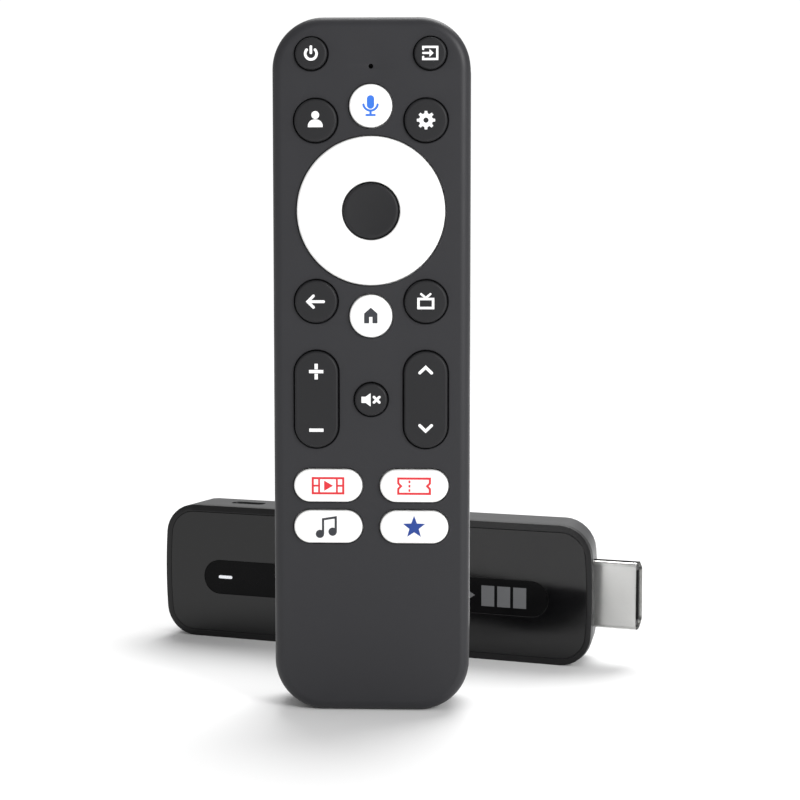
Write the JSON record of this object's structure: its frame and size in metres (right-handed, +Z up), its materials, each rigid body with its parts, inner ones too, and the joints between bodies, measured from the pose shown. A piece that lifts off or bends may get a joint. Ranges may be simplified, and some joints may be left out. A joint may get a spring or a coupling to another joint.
{
  "type": "streaming media player with remote",
  "caption": "Slim streaming media stick with a plug on one end, standing on its long edge, and its slim dark voice remote with white and dark keys standing in front of it.",
  "frame": {"origin": "the middle of the long edge that the stick stands on, on the surface", "axes": "+X along the remote's width, to the viewer's right, +Y away from the viewer, through the remote from its face to its back, +Z up along the remote's length"},
  "size_m": [0.1094, 0.0882, 0.1361],
  "materials": {
    "dark_plastic": "fine matte, dark grey",
    "black_plastic": "fine matte, black",
    "gloss_panel": "polished, black",
    "strip_plastic": "satin, black",
    "white_plastic": "satin, white",
    "key_plastic": "fine matte, dark grey",
    "diffuser": "frosted, milky white",
    "board": "green solder mask",
    "chip_black": "moulded epoxy, black",
    "tin_steel": "tin or nickel plated",
    "alloy": "rolled",
    "gold_plate": "gold plated",
    "insulator": "glass filled, black",
    "silicone_blue": "soft pad",
    "silicone_grey": "silicone, grey",
    "led_epoxy": "clear epoxy",
    "ir_plastic": "dark infrared pass",
    "cell_jacket": "printed film"
  },
  "bodies": {
    "stick": {"stick_housing": "black_plastic", "stick_front_cover": "black_plastic", "stick_front_panel": "gloss_panel", "stick_strip": "strip_plastic", "stick_light_pipe": "diffuser", "stick_circuit_board": "board", "stick_light": "led_epoxy", "hdmi_plug_shell": "tin_steel", "hdmi_plug_insulator": "insulator", "hdmi_plug_contacts": "gold_plate", "power_socket_shell": "tin_steel", "power_socket_tongue": "insulator", "stick_processor": "chip_black", "stick_memory_chips": "chip_black", "stick_flash_chip": "chip_black", "stick_shield_can": "tin_steel", "stick_thermal_pad": "silicone_blue", "stick_heat_spreader": "alloy", "stick_wireless_module": "tin_steel", "stick_antennas": "gold_plate", "stick_power_parts": "chip_black", "stick_screws": "tin_steel", "reset_switch": "chip_black"},
    "reset_button": {"reset_button": "key_plastic"},
    "remote": {"remote_face_shell": "dark_plastic", "remote_back_shell": "dark_plastic", "key_membrane": "silicone_grey", "remote_circuit_board": "board", "remote_chips": "chip_black", "remote_contact_domes": "tin_steel", "remote_screws": "tin_steel", "microphone": "chip_black", "infrared_emitter": "ir_plastic", "infrared_window": "ir_plastic", "battery_left": "cell_jacket", "battery_right": "cell_jacket", "battery_springs": "tin_steel", "battery_plates": "tin_steel"},
    "battery_cover": {"battery_cover": "dark_plastic"},
    "ring_pad": {"ring_rubber_pad": "silicone_grey"},
    "direction_ring": {"direction_ring": "white_plastic"},
    "volume_rocker": {"volume_rocker": "key_plastic"},
    "channel_rocker": {"channel_rocker": "key_plastic"},
    "power_key": {"power_key": "key_plastic"},
    "input_key": {"input_key": "key_plastic"},
    "voice_key": {"voice_key": "white_plastic"},
    "account_key": {"account_key": "key_plastic"},
    "settings_key": {"settings_key": "key_plastic"},
    "select_key": {"select_key": "key_plastic"},
    "back_key": {"back_key": "key_plastic"},
    "home_key": {"home_key": "white_plastic"},
    "guide_key": {"guide_key": "key_plastic"},
    "mute_key": {"mute_key": "key_plastic"},
    "shortcut_key_1": {"shortcut_key_1": "white_plastic"},
    "shortcut_key_2": {"shortcut_key_2": "white_plastic"},
    "shortcut_key_3": {"shortcut_key_3": "white_plastic"},
    "shortcut_key_4": {"shortcut_key_4": "white_plastic"}
  },
  "joints": [
    {"name": "remote_lift", "type": "slide", "parent": "stick", "child": "remote", "axis": [0, 0, 1], "range_m": [0, 0.06]},
    {"name": "reset_press", "type": "slide", "parent": "stick", "child": "reset_button", "axis": [0, 0, -1], "range_m": [0, 0.00025], "stiffness_N_per_m": 3000},
    {"name": "battery_cover_hinge", "type": "hinge", "parent": "remote", "child": "battery_cover", "pos_m": [0.0011, -0.0456, 0.0115], "axis": [-1, 0, 0], "range_deg": [0, 30]},
    {"name": "ring_up_down", "type": "hinge", "parent": "remote", "child": "ring_pad", "pos_m": [0.0011, -0.0628, 0.0988], "axis": [1, 0, 0], "range_deg": [-1.4, 1.4], "stiffness_Nm_per_rad": 0.4},
    {"name": "ring_left_right", "type": "hinge", "parent": "ring_pad", "child": "direction_ring", "pos_m": [0.0011, -0.0628, 0.0988], "axis": [0, 0, 1], "range_deg": [-1.4, 1.4], "stiffness_Nm_per_rad": 0.4},
    {"name": "volume_rock", "type": "hinge", "parent": "remote", "child": "volume_rocker", "pos_m": [-0.0096, -0.0628, 0.06205], "axis": [1, 0, 0], "range_deg": [-2.4, 2.4], "stiffness_Nm_per_rad": 0.15},
    {"name": "channel_rock", "type": "hinge", "parent": "remote", "child": "channel_rocker", "pos_m": [0.0118, -0.0628, 0.06205], "axis": [1, 0, 0], "range_deg": [-2.4, 2.4], "stiffness_Nm_per_rad": 0.15},
    {"name": "power_press", "type": "slide", "parent": "remote", "child": "power_key", "axis": [0, 1, 0], "range_m": [0, 0.0006], "stiffness_N_per_m": 2000},
    {"name": "input_press", "type": "slide", "parent": "remote", "child": "input_key", "axis": [0, 1, 0], "range_m": [0, 0.0006], "stiffness_N_per_m": 2000},
    {"name": "voice_press", "type": "slide", "parent": "remote", "child": "voice_key", "axis": [0, 1, 0], "range_m": [0, 0.0006], "stiffness_N_per_m": 2000},
    {"name": "account_press", "type": "slide", "parent": "remote", "child": "account_key", "axis": [0, 1, 0], "range_m": [0, 0.0006], "stiffness_N_per_m": 2000},
    {"name": "settings_press", "type": "slide", "parent": "remote", "child": "settings_key", "axis": [0, 1, 0], "range_m": [0, 0.0006], "stiffness_N_per_m": 2000},
    {"name": "select_press", "type": "slide", "parent": "remote", "child": "select_key", "axis": [0, 1, 0], "range_m": [0, 0.0006], "stiffness_N_per_m": 2000},
    {"name": "back_press", "type": "slide", "parent": "remote", "child": "back_key", "axis": [0, 1, 0], "range_m": [0, 0.0006], "stiffness_N_per_m": 2000},
    {"name": "home_press", "type": "slide", "parent": "remote", "child": "home_key", "axis": [0, 1, 0], "range_m": [0, 0.0006], "stiffness_N_per_m": 2000},
    {"name": "guide_press", "type": "slide", "parent": "remote", "child": "guide_key", "axis": [0, 1, 0], "range_m": [0, 0.0006], "stiffness_N_per_m": 2000},
    {"name": "mute_press", "type": "slide", "parent": "remote", "child": "mute_key", "axis": [0, 1, 0], "range_m": [0, 0.0006], "stiffness_N_per_m": 2000},
    {"name": "shortcut_1_press", "type": "slide", "parent": "remote", "child": "shortcut_key_1", "axis": [0, 1, 0], "range_m": [0, 0.0006], "stiffness_N_per_m": 2000},
    {"name": "shortcut_2_press", "type": "slide", "parent": "remote", "child": "shortcut_key_2", "axis": [0, 1, 0], "range_m": [0, 0.0006], "stiffness_N_per_m": 2000},
    {"name": "shortcut_3_press", "type": "slide", "parent": "remote", "child": "shortcut_key_3", "axis": [0, 1, 0], "range_m": [0, 0.0006], "stiffness_N_per_m": 2000},
    {"name": "shortcut_4_press", "type": "slide", "parent": "remote", "child": "shortcut_key_4", "axis": [0, 1, 0], "range_m": [0, 0.0006], "stiffness_N_per_m": 2000}
  ]
}
